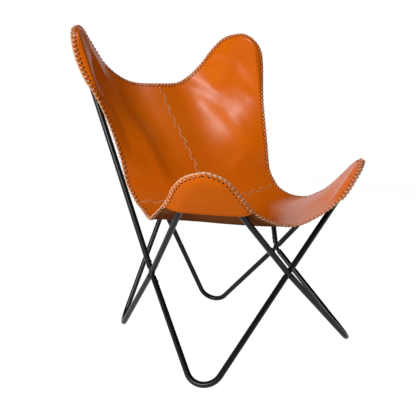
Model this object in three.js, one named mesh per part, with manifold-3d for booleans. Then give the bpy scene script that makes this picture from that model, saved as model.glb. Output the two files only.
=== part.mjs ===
import * as THREE from 'three';
import { mergeVertices } from 'three/addons/utils/BufferGeometryUtils.js';
import Module from 'manifold-3d';

// Butterfly sling chair: a knock-down frame of bent steel tube that carries a leather sling by four
// corner pockets. Millimetres, +Z up. The sitter faces -Y and the sitter's left hand is +X.

// Frame tube
const tubeDiameter = 16;
const tubeWall = 1.5;
const topBendRadius = 40;
const floorBendRadius = 48;
const floorFlatDepth = 0.5;

// Where the legs' centre lines cross in the middle of each side of the frame
const sideCrossingHalfSpan = 236;
const sideCrossingHeight = 230;
const frontCrossingReach = 291;
const frontCrossingHeight = 251;
const backCrossingReach = 285;
const backCrossingHeight = 342;

// Where the two straight legs of each bend would meet if they ran on to a point
const backPeakHalfSpan = 344;
const backPeakReach = 267;
const backPeakHeight = 1001;
const frontPeakHalfSpan = 299;
const frontPeakReach = 307;
const frontPeakHeight = 560;
const frontFootHalfSpan = 296;
const frontFootReach = 293;
const backFootHalfSpan = 188;
const backFootReach = 277;

// Cross joints: four solid spigots on a hub, one in the end of each tube
const hubDiameter = 19;
const spigotLength = 50;
const spigotClearance = 0.6;
const tubeEndClearance = 0.6;
const screwDistance = 30;
const screwShankDiameter = 4;
const screwHeadDiameter = 7.6;
const screwHeadHeight = 2.6;
const screwClearance = 0.3;
const screwTipGap = 2.2;

// Sling leather
const leatherThickness = 2.5;
const layerGap = 0.3;
const seamGap = 0.3;
const tubeClearance = 2;
const overhang = 30;
const tipReach = 18;
const edgeRun = 8;

// How the leather lies over a loop: it rests on the tube, falls away outside it towards the laced edge
// and hangs like a hammock inside it
const flangeStart = 12;
const flangeReach = 30;
const flangeFall = 22;
const hammockStart = 30;
const hammockReach = 120;
const hammockFall = 16;
const drapeSoftness = 3;
const drapeDepth = 80;
const pocketFlangeStart = 12;
const pocketFlangeReach = 34;

// Fineness of the round forms
const tubeSides = 12;
const bendSteps = 10;
const spigotSides = 12;
const screwSides = 10;
const domeSteps = 3;
const settlePasses = 8;
const edgeSamples = 60;
const samplesPerPoint = 12;

const black = new THREE.MeshStandardMaterial({ color: 0x17181b, roughness: 0.35, metalness: 0.4 });
const steel = new THREE.MeshStandardMaterial({ color: 0x55585c, roughness: 0.4, metalness: 0.9 });
const tan = new THREE.MeshStandardMaterial({ color: 0xc4600f, roughness: 0.42, metalness: 0 });

const chair = new THREE.Group();
const tubeRadius = tubeDiameter / 2;
const left = 1;
const right = -1;

function place(x, y, z) {
  return new THREE.Vector3(x, y, z);
}

function addPiece(name, geometry, material) {
  const piece = new THREE.Mesh(geometry, material);
  piece.name = name;
  chair.add(piece);
  return piece;
}

// Solids are cut and joined here
const wasm = await Module();
wasm.setup();

function solidOf(geometry) {
  const bare = geometry.clone();
  bare.deleteAttribute('normal');
  bare.deleteAttribute('uv');
  const welded = mergeVertices(bare);
  return new wasm.Manifold(new wasm.Mesh({
    numProp: 3,
    vertProperties: new Float32Array(welded.attributes.position.array),
    triVerts: new Uint32Array(welded.index.array),
  }));
}

function geometryOf(solid) {
  const mesh = solid.getMesh();
  const geometry = new THREE.BufferGeometry();
  geometry.setAttribute('position', new THREE.BufferAttribute(mesh.vertProperties, 3));
  geometry.setIndex(new THREE.BufferAttribute(mesh.triVerts, 1));
  return geometry;
}

// A cylinder from one point to another
function rod(from, to, radius, sides) {
  const along = to.clone().sub(from);
  const geometry = new THREE.CylinderGeometry(radius, radius, along.length(), sides);
  const turn = new THREE.Quaternion().setFromUnitVectors(place(0, 1, 0), along.clone().normalize());
  geometry.applyQuaternion(turn);
  const middle = from.clone().add(to).multiplyScalar(0.5);
  geometry.translate(middle.x, middle.y, middle.z);
  return geometry;
}

// Crossings and peaks of the frame. Every loop has a straight leg to each of two crossings.
const crossings = {
  right: place(right * sideCrossingHalfSpan, 0, sideCrossingHeight),
  left: place(left * sideCrossingHalfSpan, 0, sideCrossingHeight),
  front: place(0, -frontCrossingReach, frontCrossingHeight),
  back: place(0, backCrossingReach, backCrossingHeight),
};

// The peak of a leg lies under the floor, at the depth that stands the outside of its bend on the floor
function footPeak(side, halfSpan, y, ends) {
  const peak = place(side * halfSpan, y, 0);
  for (let pass = 0; pass < settlePasses; pass += 1) {
    const bend = bendOf(peak, ends, floorBendRadius);
    const lowest = bend.centre.z - bend.radius * Math.hypot(bend.axis.x, bend.axis.y);
    peak.z -= lowest - tubeRadius + floorFlatDepth;
  }
  return peak;
}

// The round part between two straight legs that run from a peak to two end points
function bendOf(peak, ends, radius) {
  const first = ends[0].clone().sub(peak).normalize();
  const second = ends[1].clone().sub(peak).normalize();
  const halfAngle = first.angleTo(second) / 2;
  const inward = first.clone().add(second).normalize();
  const centre = peak.clone().addScaledVector(inward, radius / Math.sin(halfAngle));
  const setback = radius / Math.tan(halfAngle);
  return {
    centre,
    radius,
    inward,
    axis: first.clone().cross(second).normalize(),
    start: peak.clone().addScaledVector(first, setback),
    end: peak.clone().addScaledVector(second, setback),
    middle: centre.clone().addScaledVector(inward, -radius),
  };
}

// Centre line of a bent tube: leg, bend and leg, with nearly all its steps on the bend
class BentLine extends THREE.Curve {
  constructor(from, bend, to) {
    super();
    this.from = from;
    this.bend = bend;
    this.to = to;
    this.legSteps = 1;
    this.steps = bendSteps + 2 * this.legSteps;
    const a = bend.start.clone().sub(bend.centre);
    const b = bend.end.clone().sub(bend.centre);
    this.angle = a.angleTo(b);
    this.axis = a.clone().cross(b).normalize();
  }

  getPoint(t) {
    const step = t * this.steps;
    if (step <= this.legSteps) {
      return this.from.clone().lerp(this.bend.start, step / this.legSteps);
    }
    if (step >= this.steps - this.legSteps) {
      return this.bend.end.clone().lerp(this.to, (step - this.steps + this.legSteps) / this.legSteps);
    }
    const turn = (step - this.legSteps) / bendSteps * this.angle;
    const spoke = this.bend.start.clone().sub(this.bend.centre).applyAxisAngle(this.axis, turn);
    return spoke.add(this.bend.centre);
  }

  getPointAt(u) {
    return this.getPoint(u);
  }

  getTangentAt(u) {
    const step = THREE.MathUtils.clamp(u * this.steps - this.legSteps, 0, bendSteps);
    const spoke = this.bend.start.clone().sub(this.bend.centre);
    const tangent = this.axis.clone().cross(spoke).normalize();
    return tangent.applyAxisAngle(this.axis, step / bendSteps * this.angle);
  }
}

// How far a tube stops short of a crossing, so that the two nearest tubes there clear each other
function endSetback(crossing, arms) {
  let narrowest = Math.PI;
  arms.forEach((arm, i) => arms.slice(i + 1).forEach((other) => {
    const angle = arm.clone().sub(crossing).angleTo(other.clone().sub(crossing));
    narrowest = Math.min(narrowest, angle);
  }));
  return (tubeRadius + tubeEndClearance) / Math.tan(narrowest / 2);
}

const loopPlans = {};
function planLoop(name, peak, crossingNames, radius) {
  loopPlans[name] = { peak, crossingNames, radius, ends: crossingNames.map((key) => crossings[key]) };
}
for (const [side, sign] of [['right', right], ['left', left]]) {
  planLoop(`top_loop_back_${side}`, place(sign * backPeakHalfSpan, backPeakReach, backPeakHeight),
    [side, 'back'], topBendRadius);
  planLoop(`top_loop_front_${side}`, place(sign * frontPeakHalfSpan, -frontPeakReach, frontPeakHeight),
    [side, 'front'], topBendRadius);
  planLoop(`leg_front_${side}`, footPeak(sign, frontFootHalfSpan, -frontFootReach,
    [crossings[side], crossings.front]), [side, 'front'], floorBendRadius);
  planLoop(`leg_back_${side}`, footPeak(sign, backFootHalfSpan, backFootReach,
    [crossings[side], crossings.back]), [side, 'back'], floorBendRadius);
}

const armsAt = {};
for (const plan of Object.values(loopPlans)) {
  plan.crossingNames.forEach((key) => {
    armsAt[key] = armsAt[key] ?? [];
    armsAt[key].push(plan.peak);
  });
}

// Screws stand square to the plane of their crossing, on its inner face
function inwardOf(key) {
  const [a, b, c] = armsAt[key].map((arm) => arm.clone().sub(crossings[key]).normalize());
  const facing = a.clone().sub(b).cross(a.clone().sub(c)).normalize();
  const middle = place(0, 0, crossings[key].z).sub(crossings[key]);
  return facing.dot(middle) > 0 ? facing : facing.negate();
}

// Straight along an arm, and square to it on the inner face of the crossing
function armFrame(key, peak) {
  const along = peak.clone().sub(crossings[key]).normalize();
  const out = inwardOf(key);
  out.addScaledVector(along, -out.dot(along)).normalize();
  const seat = crossings[key].clone().addScaledVector(along, screwDistance);
  return { along, out, seat };
}

function screwHole(frame, reach) {
  const from = frame.seat.clone().addScaledVector(frame.out, -screwTipGap - screwClearance);
  const to = frame.seat.clone().addScaledVector(frame.out, reach);
  return rod(from, to, screwShankDiameter / 2 + screwClearance, screwSides);
}

function bentTube(plan) {
  const bend = bendOf(plan.peak, plan.ends, plan.radius);
  const stops = plan.crossingNames.map((key) => {
    const away = plan.peak.clone().sub(crossings[key]).normalize();
    return crossings[key].clone().addScaledVector(away, endSetback(crossings[key], armsAt[key]));
  });
  const line = new BentLine(stops[0], bend, stops[1]);
  const section = new THREE.Shape();
  section.absarc(0, 0, tubeRadius, 0, 2 * Math.PI);
  const bore = new THREE.Path();
  bore.absarc(0, 0, tubeRadius - tubeWall, 0, 2 * Math.PI, true);
  section.holes.push(bore);
  let tube = solidOf(new THREE.ExtrudeGeometry(section, {
    steps: line.steps,
    curveSegments: tubeSides / 2,
    extrudePath: line,
  }));
  plan.crossingNames.forEach((key) => {
    tube = tube.subtract(solidOf(screwHole(armFrame(key, plan.peak), tubeDiameter)));
  });
  return tube;
}

// Frame tubes. The floor bends are worn flat where they stand.
for (const [name, plan] of Object.entries(loopPlans)) {
  let tube = bentTube(plan);
  if (name.startsWith('leg_')) {
    const slab = new THREE.BoxGeometry(floorBendRadius * 2, floorBendRadius * 2, tubeDiameter);
    slab.translate(plan.peak.x, plan.peak.y, -tubeRadius);
    tube = tube.subtract(solidOf(slab));
  }
  addPiece(name, geometryOf(tube), black);
}

// Cross joints and their screws
const armNames = {};
for (const [name, plan] of Object.entries(loopPlans)) {
  plan.crossingNames.forEach((key) => {
    armNames[key] = armNames[key] ?? [];
    armNames[key].push({ name, peak: plan.peak });
  });
}

function screwOf(frame) {
  const headSeat = tubeRadius + screwClearance;
  const shank = rod(frame.seat.clone().addScaledVector(frame.out, -screwTipGap),
    frame.seat.clone().addScaledVector(frame.out, headSeat + screwHeadHeight / 2),
    screwShankDiameter / 2, screwSides);
  const profile = new THREE.EllipseCurve(0, 0, screwHeadDiameter / 2, screwHeadHeight, 0, Math.PI / 2);
  const outline = [new THREE.Vector2(0, 0), ...profile.getPoints(domeSteps)];
  outline[outline.length - 1].x = 0;
  const dome = new THREE.LatheGeometry(outline, screwSides);
  const turn = new THREE.Quaternion().setFromUnitVectors(place(0, 1, 0), frame.out);
  dome.applyQuaternion(turn);
  const seat = frame.seat.clone().addScaledVector(frame.out, headSeat);
  dome.translate(seat.x, seat.y, seat.z);
  return geometryOf(solidOf(shank).add(solidOf(dome)));
}

for (const [key, arms] of Object.entries(armNames)) {
  const centre = crossings[key];
  const ball = new THREE.SphereGeometry(hubDiameter / 2, spigotSides, spigotSides / 2);
  ball.translate(centre.x, centre.y, centre.z);
  let joint = solidOf(ball);
  const spigotRadius = tubeRadius - tubeWall - spigotClearance;
  arms.forEach(({ peak }) => {
    const { along } = armFrame(key, peak);
    const tip = centre.clone().addScaledVector(along, spigotLength);
    joint = joint.add(solidOf(rod(centre, tip, spigotRadius, spigotSides)));
  });
  arms.forEach(({ name, peak }) => {
    const frame = armFrame(key, peak);
    joint = joint.subtract(solidOf(screwHole(frame, tubeRadius)));
    addPiece(`screw_${key}_${name}`, screwOf(frame), steel);
  });
  addPiece(`cross_joint_${key}`, geometryOf(joint), black);
}

// Sling outline. A point beside a leg is given by its share of the leg from the peak to the crossing,
// how far it lies outside the leg in the loop's plane and how far in front of that plane, the last two
// as shares of the overhang. The points run from the tip towards the middle of the sling.
const besideBackSideLegShares = [
  [0.155, 0.25, -0.1], [0.2, 0.8, -0.25], [0.26, 0.8, -0.35], [0.33, 0.6, -0.18], [0.41, 0.4, 0.26],
  [0.5, 0.12, 0.48], [0.6, -0.05, 0.48], [0.69, 0.08, 0.36], [0.757, 0.74, 0.8],
];
const besideFrontSideLegShares = [
  [0.125, 0.6, 0], [0.225, 1.15, 0], [0.3, 1.28, 0], [0.37, 1.45, 0], [0.445, 1.68, 0.08],
  [0.52, 1.88, 0.4], [0.583, 1.93, 0.78], [0.634, 2.02, 1.45], [0.678, 2.3, 2.27], [0.709, 2.79, 3.2],
];
const besideBackLegShares = [
  [0.157, 0.2, 0.05], [0.183, 0.94, 0.05], [0.214, 1.41, 0], [0.246, 1.77, 0], [0.29, 2.15, 0],
  [0.346, 2.52, 0.13], [0.415, 3.03, 0.76], [0.47, 3.55, 1.85],
];
const besideFrontLegShares = [
  [0.095, 0.1, 0.05], [0.139, 0.5, 0.08], [0.187, 0.83, 0], [0.24, 0.98, -0.04], [0.337, 1.12, -0.1],
  [0.431, 1.15, -0.03], [0.526, 1.33, 0.33], [0.616, 1.54, 0.85], [0.7, 1.82, 1.45],
];

// Centre line of the sling from the back edge to the front edge: shares of the way from the front
// crossing to the back crossing, and of the height from the front crossing to the back peaks
const centreLineShares = [
  [1.031, 0.653], [0.936, 0.545], [0.847, 0.467], [0.759, 0.389], [0.68, 0.31], [0.61, 0.243],
  [0.545, 0.2], [0.47, 0.173], [0.366, 0.155], [0.245, 0.151], [0.0885, 0.161], [-0.05, 0.177],
];
const centreSeamIndex = 6;

// Between the middle and an edge the sling rises by this power of the share across
const sectionPowerShare = 2.2;

// Where the facets of the leather lie, closer together beside an edge. The outermost comes first.
const columnShares = [1, 0.978, 0.95, 0.9, 0.81, 0.72, 0.63, 0.53, 0.43, 0.3, 0.15, 0];
const rowShares = [0, 0.02, 0.045, 0.095, 0.155, 0.22, 0.29, 0.37, 0.43, 0.53, 0.65, 0.77, 0.885, 1];

// A pocket shares its edges with the panel in front of it, from the tip as far as this many of the
// rows and columns above. Its hem bows out past a straight line.
const backPocketRings = 7;
const frontPocketRings = 8;
const pocketFanShares = [0, 0.06, 0.16, 0.28, 0.4, 0.5, 0.6, 0.72, 0.84, 0.94, 1];
const hemBowShare = 0.16;

// Square to the plane of a loop, on the sitter's side
function facingOf(plan) {
  const first = plan.ends[0].clone().sub(plan.peak);
  const second = plan.ends[1].clone().sub(plan.peak);
  const facing = first.cross(second).normalize();
  const sitter = place(0, 0, plan.peak.z).sub(plan.peak);
  return facing.dot(sitter) > 0 ? facing : facing.negate();
}

function besideLeg(plan, legIndex, shares) {
  const facing = facingOf(plan);
  const leg = plan.ends[legIndex].clone().sub(plan.peak);
  const other = plan.ends[1 - legIndex].clone().sub(plan.peak);
  const along = leg.clone().normalize();
  const out = along.clone().multiplyScalar(along.dot(other)).sub(other).normalize();
  return shares.map(([alongShare, outShare, frontShare]) => plan.peak.clone()
    .addScaledVector(leg, alongShare)
    .addScaledVector(out, outShare * overhang)
    .addScaledVector(facing, frontShare * overhang));
}

function tipOf(plan) {
  const bend = bendOf(plan.peak, plan.ends, plan.radius);
  return bend.middle.addScaledVector(bend.inward, -tipReach);
}

function smoothCurve(points) {
  return new THREE.CatmullRomCurve3(points, false, 'catmullrom');
}

const sideLeg = 0;
const middleLeg = 1;
const depth = crossings.back.y - crossings.front.y;
const rise = backPeakHeight - frontCrossingHeight;
const backLoop = loopPlans.top_loop_back_left;
const frontLoop = loopPlans.top_loop_front_left;
const backSidePoints = besideLeg(backLoop, sideLeg, besideBackSideLegShares);
const frontSidePoints = besideLeg(frontLoop, sideLeg, besideFrontSideLegShares);
const centrePoints = centreLineShares.map(([way, height]) => place(0,
  crossings.front.y + way * depth, crossings.front.z + height * rise));
const centreLine = smoothCurve(centrePoints);
const sideEdge = smoothCurve([tipOf(backLoop), ...backSidePoints,
  ...frontSidePoints.reverse(), tipOf(frontLoop)]);

// The back and front edges run from the right tip to the left one, alike on both sides of the middle
function crossEdge(middle, halfPoints, tip) {
  const half = [...halfPoints.reverse(), tip];
  const mirrored = half.map((point) => place(-point.x, point.y, point.z)).reverse();
  return smoothCurve([...mirrored, middle, ...half]);
}
const backEdge = crossEdge(centrePoints[0],
  besideLeg(backLoop, middleLeg, besideBackLegShares), tipOf(backLoop));
const frontEdge = crossEdge(centrePoints[centrePoints.length - 1],
  besideLeg(frontLoop, middleLeg, besideFrontLegShares), tipOf(frontLoop));

// The sling is mapped by across, from 0 in the middle to 1 at the left edge, and down, from 0 at the
// back edge through a half at the cross seam to 1 at the front edge
const halfShare = 0.5;
function lengthShareAt(curve, pointIndex) {
  const lengths = curve.getLengths(samplesPerPoint * (curve.points.length - 1));
  return lengths[samplesPerPoint * pointIndex] / lengths[lengths.length - 1];
}
const centreSeamShare = lengthShareAt(centreLine, centreSeamIndex);
const sideSeamShare = lengthShareAt(sideEdge, besideBackSideLegShares.length);
function shareDown(down, seamShare) {
  return down < halfShare ? down / halfShare * seamShare : 1 - (1 - down) / halfShare * (1 - seamShare);
}

function ruledPoint(across, down) {
  const centre = centreLine.getPointAt(shareDown(down, centreSeamShare));
  const edge = sideEdge.getPointAt(shareDown(down, sideSeamShare));
  const share = Math.abs(across) ** sectionPowerShare;
  const section = centre.lerp(edge, share);
  section.x = across * edge.x;
  return section;
}

function surfacePoint(across, down) {
  const nearBack = down < halfShare;
  const fade = Math.abs(1 - down / halfShare) ** 2;
  const edge = (nearBack ? backEdge : frontEdge).getPointAt((1 + across) / 2);
  const ruledEdge = ruledPoint(across, nearBack ? 0 : 1);
  return ruledPoint(across, down).addScaledVector(edge.sub(ruledEdge), fade);
}

// Points along the centre lines of the loops and along the sling's edges, to measure from
function loopPoints(plan) {
  const line = new BentLine(plan.ends[0], bendOf(plan.peak, plan.ends, plan.radius), plan.ends[1]);
  return Array.from({ length: line.steps + 1 }, (_, i) => line.getPoint(i / line.steps));
}
function loopLineOf(plan) {
  return {
    facing: facingOf(plan),
    points: loopPoints(plan),
    peak: plan.peak,
    legs: plan.ends.map((end) => end.clone().sub(plan.peak).normalize()),
    middle: plan.peak.clone().add(plan.ends[0]).add(plan.ends[1]).divideScalar(3),
  };
}
const loopLines = [backLoop, frontLoop].map(loopLineOf);
const edgeLines = [sideEdge, backEdge, frontEdge].map((curve) => curve.getPoints(edgeSamples));

function nearestOn(points, target) {
  let nearest = points[0];
  for (let i = 1; i < points.length; i += 1) {
    const foot = new THREE.Line3(points[i - 1], points[i]).closestPointToPoint(target, true, place(0, 0, 0));
    if (foot.distanceTo(target) < nearest.distanceTo(target)) nearest = foot;
  }
  return nearest;
}

function edgeTaper(point) {
  const gaps = edgeLines.map((points) => nearestOn(points, point).distanceTo(point));
  return Math.min(1, Math.min(...gaps) / edgeRun);
}

const clearHeight = tubeRadius + tubeClearance + leatherThickness / 2;

// How a point lies to a loop: its height over the loop's plane, its distance beside the tube in that
// plane, and whether that is outside the loop
function measure(loopLine, point) {
  const foot = nearestOn(loopLine.points, point);
  const offset = point.clone().sub(foot);
  const height = offset.dot(loopLine.facing);
  offset.addScaledVector(loopLine.facing, -height);
  return { height, beside: offset.length(), outside: offset.dot(foot.clone().sub(loopLine.middle)) > 0 };
}

// 0 over the straight legs of a loop, rising to 1 towards its middle
function insideShare(loopLine, point) {
  const offset = point.clone().sub(loopLine.peak);
  offset.addScaledVector(loopLine.facing, -offset.dot(loopLine.facing));
  return loopLine.legs.reduce((share, leg) => {
    const away = offset.clone().addScaledVector(leg, -offset.dot(leg)).length();
    return share * THREE.MathUtils.smoothstep(away, hammockStart, hammockReach);
  }, 1);
}

function leastHeight(loopLine, point, { beside, outside }) {
  if (outside) return clearHeight - flangeFall * THREE.MathUtils.smoothstep(beside, flangeStart, flangeReach);
  return clearHeight - hammockFall * insideShare(loopLine, point);
}

// The lift that brings leather up to a height, coming in gently
function softLift(want) {
  if (want > drapeSoftness) return want;
  return want < -drapeSoftness ? 0 : (want + drapeSoftness) ** 2 / (4 * drapeSoftness);
}

// The panels are drawn over the tubes of the loops
function panelPoint(across, down) {
  const point = surfacePoint(Math.abs(across), down);
  const taper = edgeTaper(point);
  loopLines.forEach((loopLine) => {
    const lie = measure(loopLine, point);
    if (lie.height < -drapeDepth) return;
    const lift = softLift(leastHeight(loopLine, point, lie) - lie.height);
    point.addScaledVector(loopLine.facing, lift * taper);
  });
  if (across < 0) point.x = -point.x;
  return point;
}

// A pocket lies flat behind its loop and meets the panel along the edge
function pocketPoint(loopLine, across, down) {
  const point = surfacePoint(across, down);
  const { height, beside, outside } = measure(loopLine, point);
  const flange = outside ? THREE.MathUtils.smoothstep(beside, pocketFlangeStart, pocketFlangeReach) : 0;
  const joined = height - leatherThickness - layerGap;
  const target = THREE.MathUtils.lerp(joined, -clearHeight, edgeTaper(point) * (1 - flange));
  return point.addScaledVector(loopLine.facing, target - height);
}

const normalStepShare = 0.01;
function panelFacing(across, down) {
  const u = Math.min(across, 1 - normalStepShare);
  const v = THREE.MathUtils.clamp(down, normalStepShare, 1 - normalStepShare);
  const acrossStep = panelPoint(u + normalStepShare, v).sub(panelPoint(u - normalStepShare, v));
  const downStep = panelPoint(u, v + normalStepShare).sub(panelPoint(u, v - normalStepShare));
  return downStep.cross(acrossStep).normalize();
}

// A closed sheet of leather from the points of its middle layer, which way each faces, and its facets
function sheet(points, facings, facets) {
  const half = leatherThickness / 2;
  const front = points.map((point, i) => point.clone().addScaledVector(facings[i], half));
  const back = points.map((point, i) => point.clone().addScaledVector(facings[i], -half));
  const count = points.length;
  const index = [];
  const sides = new Map();
  facets.forEach(([a, b, c]) => {
    index.push(a, b, c, count + a, count + c, count + b);
    [[a, b], [b, c], [c, a]].forEach(([from, to]) => sides.set(`${from} ${to}`, [from, to]));
  });
  sides.forEach(([from, to]) => {
    if (sides.has(`${to} ${from}`)) return;
    index.push(to, from, count + from, to, count + from, count + to);
  });
  const geometry = new THREE.BufferGeometry().setFromPoints([...front, ...back]);
  geometry.setIndex(index);
  return geometry;
}

function mirroredSheet(geometry) {
  const copy = geometry.clone().scale(-1, 1, 1);
  const index = copy.index.array;
  for (let i = 0; i < index.length; i += 3) [index[i], index[i + 1]] = [index[i + 1], index[i]];
  return copy;
}

// A panel is a grid whose first corner is the tip, with a small gap to its neighbours at the seams
function panelSheet(downs) {
  const seamInset = seamGap / 2;
  const columns = columnShares.length;
  const points = [];
  const facings = [];
  downs.forEach((down) => columnShares.forEach((across) => {
    const facing = panelFacing(across, down);
    const point = panelPoint(across, down);
    if (across === 0) point.x += seamInset;
    if (down === halfShare) {
      const inner = panelPoint(across, halfShare + Math.sign(downs[0] - halfShare) * normalStepShare);
      point.addScaledVector(inner.sub(point).normalize(), seamInset);
    }
    points.push(point);
    facings.push(facing);
  }));
  const facets = [];
  for (let row = 1; row < downs.length; row += 1) {
    for (let column = 1; column < columns; column += 1) {
      const corner = row * columns + column;
      const [outer, beside, above] = [corner - columns - 1, corner - columns, corner - 1];
      facets.push([outer, above, corner], [outer, corner, beside]);
    }
  }
  return sheet(points, facings, downs[0] < halfShare ? facets.map(([a, b, c]) => [a, c, b]) : facets);
}

// A pocket is a fan of rings round the tip
function pocketSheet(loopLine, pocketRings, downOf) {
  const points = [pocketPoint(loopLine, 1, downOf(0))];
  const fans = pocketFanShares.length;
  for (let ring = 1; ring <= pocketRings; ring += 1) {
    pocketFanShares.forEach((fan) => {
      const bow = 1 + hemBowShare * 4 * fan * (1 - fan);
      const across = 1 - (1 - columnShares[ring]) * fan * bow;
      const down = rowShares[ring] * halfShare * (1 - fan) * bow;
      points.push(pocketPoint(loopLine, across, downOf(down)));
    });
  }
  const facets = [];
  for (let fan = 1; fan < fans; fan += 1) facets.push([0, fan, fan + 1]);
  for (let ring = 1; ring < pocketRings; ring += 1) {
    for (let fan = 1; fan < fans; fan += 1) {
      const inner = (ring - 1) * fans + fan;
      const outer = ring * fans + fan;
      facets.push([inner, outer, outer + 1], [inner, outer + 1, inner + 1]);
    }
  }
  const turned = downOf(0) < halfShare ? facets.map(([a, b, c]) => [a, c, b]) : facets;
  return sheet(points, points.map(() => loopLine.facing), turned);
}

function addBothSides(name, geometry) {
  addPiece(`${name}_left`, geometry, tan);
  addPiece(`${name}_right`, mirroredSheet(geometry), tan);
}
addBothSides('back_panel', panelSheet(rowShares.map((share) => share * halfShare)));
addBothSides('seat_panel', panelSheet(rowShares.map((share) => 1 - share * halfShare)));
addBothSides('back_pocket', pocketSheet(loopLines[0], backPocketRings, (share) => share));
addBothSides('front_pocket', pocketSheet(loopLines[1], frontPocketRings, (share) => 1 - share));

// The origin lies on the floor under the middle of the chair
const bounds = new THREE.Box3().setFromObject(chair);
const middle = bounds.getCenter(place(0, 0, 0));
chair.children.forEach((piece) => piece.geometry.translate(-middle.x, -middle.y, -bounds.min.z));

export default chair;
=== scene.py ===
import math

import bpy
import numpy as np
from mathutils import Euler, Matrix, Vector
from mathutils.kdtree import KDTree


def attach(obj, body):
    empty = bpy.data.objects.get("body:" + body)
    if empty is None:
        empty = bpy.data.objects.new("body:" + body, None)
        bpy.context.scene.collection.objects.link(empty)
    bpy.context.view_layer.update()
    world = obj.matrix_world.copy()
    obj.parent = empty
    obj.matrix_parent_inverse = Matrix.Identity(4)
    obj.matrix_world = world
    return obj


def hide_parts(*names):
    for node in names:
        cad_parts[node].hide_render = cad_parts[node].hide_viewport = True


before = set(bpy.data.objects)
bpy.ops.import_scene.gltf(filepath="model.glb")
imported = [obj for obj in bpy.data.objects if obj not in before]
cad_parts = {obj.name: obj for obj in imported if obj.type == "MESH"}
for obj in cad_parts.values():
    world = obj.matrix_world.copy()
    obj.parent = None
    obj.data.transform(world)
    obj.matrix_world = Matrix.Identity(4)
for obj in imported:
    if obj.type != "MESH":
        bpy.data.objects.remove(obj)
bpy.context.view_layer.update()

# Lengths below are in millimetres, as on the drawing of the chair. Blender works in metres.
MM = 0.001
LIFT = np.array([0.0, 2.8043, 0.0])     # from the drawing's origin to the middle of the chair

TUBE = 8.0
WALL = 1.5
TOP_BEND = 40.0
FLOOR_BEND = 48.0
FLOOR_FLAT = 0.5
TUBE_END_CLEARANCE = 0.6
LEATHER = 2.5
LAYER_GAP = 0.3
SEAM_GAP = 0.3
OVERHANG = 30.0

CROSSINGS = {
    "right": (-236.0, 0.0, 230.0),
    "left": (236.0, 0.0, 230.0),
    "front": (0.0, -291.0, 251.0),
    "back": (0.0, 285.0, 342.0),
}
CROSSINGS = {name: np.array(place) for name, place in CROSSINGS.items()}


# Camera, floor and light

def make_camera():
    data = bpy.data.cameras.new("camera")
    data.sensor_width = 36.0
    data.lens = 57.06
    data.shift_x = -0.00803
    data.shift_y = 0.03465
    camera = bpy.data.objects.new("camera", data)
    camera.location = (-1.19409, -1.47593 + LIFT[1] * MM, 0.72956)
    yaw, pitch = math.radians(38.340), math.radians(-11.573)
    camera.rotation_euler = Euler((math.radians(90) + pitch, 0, -yaw), "XYZ")
    bpy.context.collection.objects.link(camera)
    bpy.context.scene.camera = camera


class Value:
    """A socket of a material, which takes sums written as Python expressions."""

    def __init__(self, finish, socket):
        self.finish = finish
        self.socket = socket

    def math(self, operation, *others):
        inputs = dict(enumerate((self, *others)))
        return self.finish.add("ShaderNodeMath", {"operation": operation}, inputs)[0]

    def __add__(self, other):
        return self.math("ADD", other)

    __radd__ = __add__

    def __rsub__(self, other):
        return self * -1 + other

    def __mul__(self, other):
        return self.math("MULTIPLY", other)

    __rmul__ = __mul__

    def above(self, low, high):
        """0 below low, 1 above high, and smooth between them."""
        return self.finish.add("ShaderNodeMapRange", {"interpolation_type": "SMOOTHSTEP"},
                               {"Value": self, "From Min": low, "From Max": high})["Result"]


class Node:
    def __init__(self, finish, node):
        self.finish = finish
        self.node = node

    def __getitem__(self, key):
        return Value(self.finish, self.node.outputs[key])


class Finish:
    """A material under construction."""

    def __init__(self, name, world=None):
        if world is None:
            self.data = bpy.data.materials.new(name)
            self.data.use_nodes = True
        else:
            self.data = world
            world.use_nodes = True
        self.tree = self.data.node_tree
        self.tree.nodes.clear()

    def add(self, kind, settings=None, inputs=None):
        node = self.tree.nodes.new(kind)
        for name, value in (settings or {}).items():
            setattr(node, name, value)
        for name, value in (inputs or {}).items():
            self.feed(node.inputs[name], value)
        return Node(self, node)

    def feed(self, socket, value):
        if isinstance(value, Value):
            self.tree.links.new(value.socket, socket)
        elif isinstance(value, tuple) and len(value) == 3 and socket.type == "RGBA":
            socket.default_value = (*value, 1.0)
        else:
            socket.default_value = value

    def noise(self, scale, detail=3.0, roughness=0.5):
        place = self.add("ShaderNodeTexCoord")["Object"]
        return self.add("ShaderNodeTexNoise", {}, {"Vector": place, "Scale": scale, "Detail": detail,
                                                   "Roughness": roughness})["Fac"]

    def seen(self):
        """1 where the camera or a reflection looks at the surface, and 0 where it only lights others."""
        path = self.add("ShaderNodeLightPath")
        looks = path["Is Camera Ray"] + path["Is Glossy Ray"] + path["Is Transmission Ray"]
        return looks.above(0.0, 0.5)

    def attribute(self, name):
        return self.add("ShaderNodeAttribute", {"attribute_name": name})["Fac"]

    def blend(self, share, low, high):
        node = self.add("ShaderNodeMix", {"data_type": "RGBA"})
        self.feed(node.node.inputs[0], share)
        self.feed(node.node.inputs[6], low)
        self.feed(node.node.inputs[7], high)
        return node[2]

    def bump(self, height, distance, strength=1.0):
        return self.add("ShaderNodeBump", {}, {"Height": height, "Distance": distance,
                                               "Strength": strength})["Normal"]

    def surface(self, shader_value):
        output = self.add("ShaderNodeOutputMaterial" if not isinstance(self.data, bpy.types.World)
                          else "ShaderNodeOutputWorld")
        self.feed(output.node.inputs["Surface"], shader_value)
        return self.data

    def principled(self, **inputs):
        named = {name.replace("_", " "): value for name, value in inputs.items()}
        return self.surface(self.add("ShaderNodeBsdfPrincipled", {}, named)["BSDF"])


WORLD_LIGHT = 0.14
SEEN_FLOOR = 0.97
FLOOR_REACH = 6.0       # metres
FLOOR_DROP = 0.0004


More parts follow.
